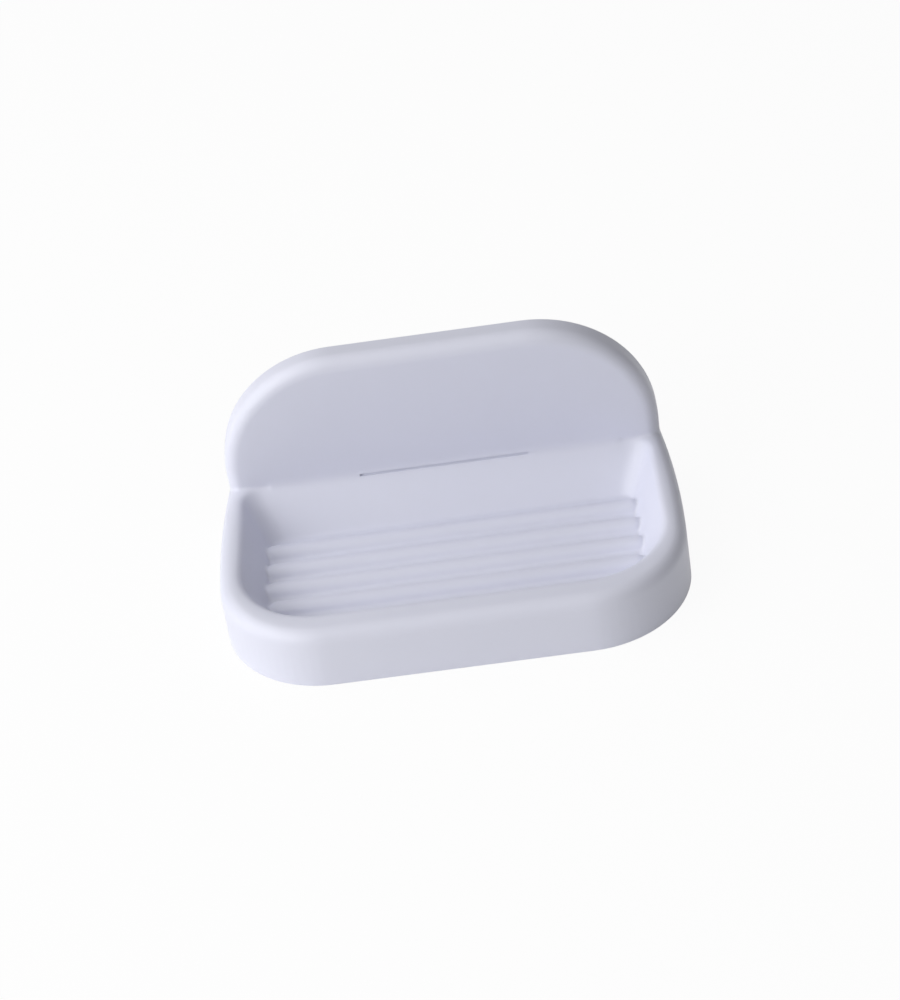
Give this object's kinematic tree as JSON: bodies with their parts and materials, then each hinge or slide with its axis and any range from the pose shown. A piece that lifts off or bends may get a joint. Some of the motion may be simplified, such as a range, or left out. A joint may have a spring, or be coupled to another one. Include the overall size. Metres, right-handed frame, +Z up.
{
  "type": "soap dish",
  "caption": "Wall-hung moulded soap dish: round-cornered splash plate over a ribbed tray, lifting off a hidden dovetail bracket.",
  "frame": {"origin": "on the wall, at the centre of the wall bracket's back face, midway between the two screws", "axes": "+X to the right seen from the front, +Y into the wall, +Z up; the dish stands out towards -Y"},
  "size_m": [0.1508, 0.1196, 0.066],
  "materials": {
    "dish_plastic": "satin",
    "bracket_plastic": "matte",
    "screw_steel": "zinc plated",
    "plug_nylon": "matte"
  },
  "bodies": {
    "bracket": {"wall_bracket": "bracket_plastic", "bracket_screws": "screw_steel", "wall_plugs": "plug_nylon"},
    "dish": {"dish_body": "dish_plastic"}
  },
  "joints": [
    {"name": "dish_lift", "type": "slide", "parent": "bracket", "child": "dish", "axis": [0, 0, 1], "range_m": [0, 0.03]}
  ]
}
